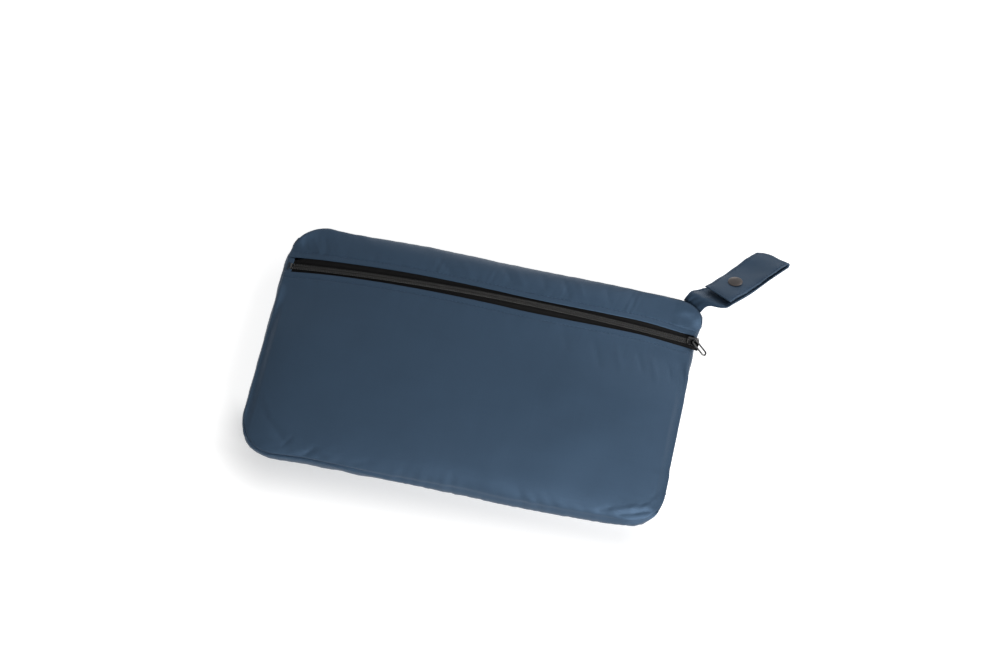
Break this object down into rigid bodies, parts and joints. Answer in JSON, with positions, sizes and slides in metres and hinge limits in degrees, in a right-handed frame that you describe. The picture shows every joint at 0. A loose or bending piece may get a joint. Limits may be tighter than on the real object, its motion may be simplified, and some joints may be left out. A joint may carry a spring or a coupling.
{
  "type": "soft baby carrier",
  "caption": "Soft baby carrier folded into its own zipped fabric pouch, with a snapped hanging strap at one corner.",
  "frame": {"origin": "centre of the flat face of the back panel that the pouch rests on", "axes": "+X along the pouch's long side, +Y towards its zipped top edge, +Z out of its zipped face"},
  "size_m": [0.3605, 0.2224, 0.0478],
  "materials": {
    "pouch_cloth": "slate blue plain-woven polyester with a soft satin sheen",
    "strap_cloth": "the same slate blue cloth, doubled and edge-stitched",
    "binding": "dark blue woven binding and elastic",
    "zipper_tape": "black woven zipper tape",
    "zipper_coil": "dark grey nylon coil",
    "dark_metal": "black enamelled die-cast zinc",
    "bright_metal": "worn bright nickel wire",
    "snap_metal": "gunmetal plated brass snap",
    "foam": "soft closed-cell padding foam",
    "webbing": "dark grey woven webbing",
    "moulded_plastic": "black moulded acetal"
  },
  "bodies": {
    "pouch": {"back_panel": "pouch_cloth", "side_gusset": "pouch_cloth", "front_panel": "pouch_cloth", "top_band": "pouch_cloth", "front_seam_binding": "binding", "back_seam_binding": "binding", "zipper_tape_lower": "zipper_tape", "zipper_tape_upper": "zipper_tape", "zipper_coil_lower": "zipper_coil", "zipper_coil_upper": "zipper_coil", "zipper_bottom_stop": "dark_metal", "zipper_top_stops": "dark_metal", "zipper_end_tab": "binding", "strap_anchor": "strap_cloth", "waist_belt_cover": "pouch_cloth", "waist_belt_foam": "foam", "body_panel": "pouch_cloth", "shoulder_cover_left": "pouch_cloth", "shoulder_foam_left": "foam", "shoulder_cover_right": "pouch_cloth", "shoulder_foam_right": "foam", "head_support": "pouch_cloth", "waist_webbing": "webbing", "waist_buckle_socket": "moulded_plastic", "shoulder_webbing_left": "webbing", "shoulder_webbing_right": "webbing", "shoulder_buckle_left": "moulded_plastic", "shoulder_buckle_right": "moulded_plastic", "chest_strap": "webbing", "chest_clip_socket": "moulded_plastic", "webbing_keepers": "binding"},
    "slider": {"slider_body": "dark_metal"},
    "pull": {"pull_loop": "bright_metal"},
    "strap": {"strap_lower": "strap_cloth", "snap_stud": "snap_metal", "snap_back": "snap_metal"},
    "flap": {"strap_flap": "strap_cloth", "snap_socket": "snap_metal", "snap_cap": "snap_metal"},
    "waist_tongue": {"waist_buckle_tongue": "moulded_plastic"},
    "chest_tongue": {"chest_clip_tongue": "moulded_plastic"}
  },
  "joints": [
    {"name": "slider_travel", "type": "hinge", "parent": "pouch", "child": "slider", "pos_m": [0.00172, 0.052, -0.47836], "axis": [0, 1, 0], "range_deg": [-31.9, 0]},
    {"name": "pull_swing", "type": "hinge", "parent": "slider", "child": "pull", "pos_m": [0.14963, 0.05249, 0.02749], "axis": [-0.22, -0.9606, 0.1696], "range_deg": [0, 150]},
    {"name": "strap_swing", "type": "hinge", "parent": "pouch", "child": "strap", "pos_m": [0.14364, 0.08046, 0.0258], "axis": [0.8192, -0.5736, 0], "range_deg": [0, 40]},
    {"name": "flap_swing", "type": "hinge", "parent": "strap", "child": "flap", "pos_m": [0.1969, 0.13074, 0.01101], "axis": [-0.7792, 0.4618, -0.4238], "range_deg": [0, 150]},
    {"name": "waist_buckle_release", "type": "slide", "parent": "pouch", "child": "waist_tongue", "axis": [1, 0, 0], "range_m": [0, 0.014]},
    {"name": "chest_clip_release", "type": "slide", "parent": "pouch", "child": "chest_tongue", "axis": [1, 0, 0], "range_m": [0, 0.008]}
  ]
}
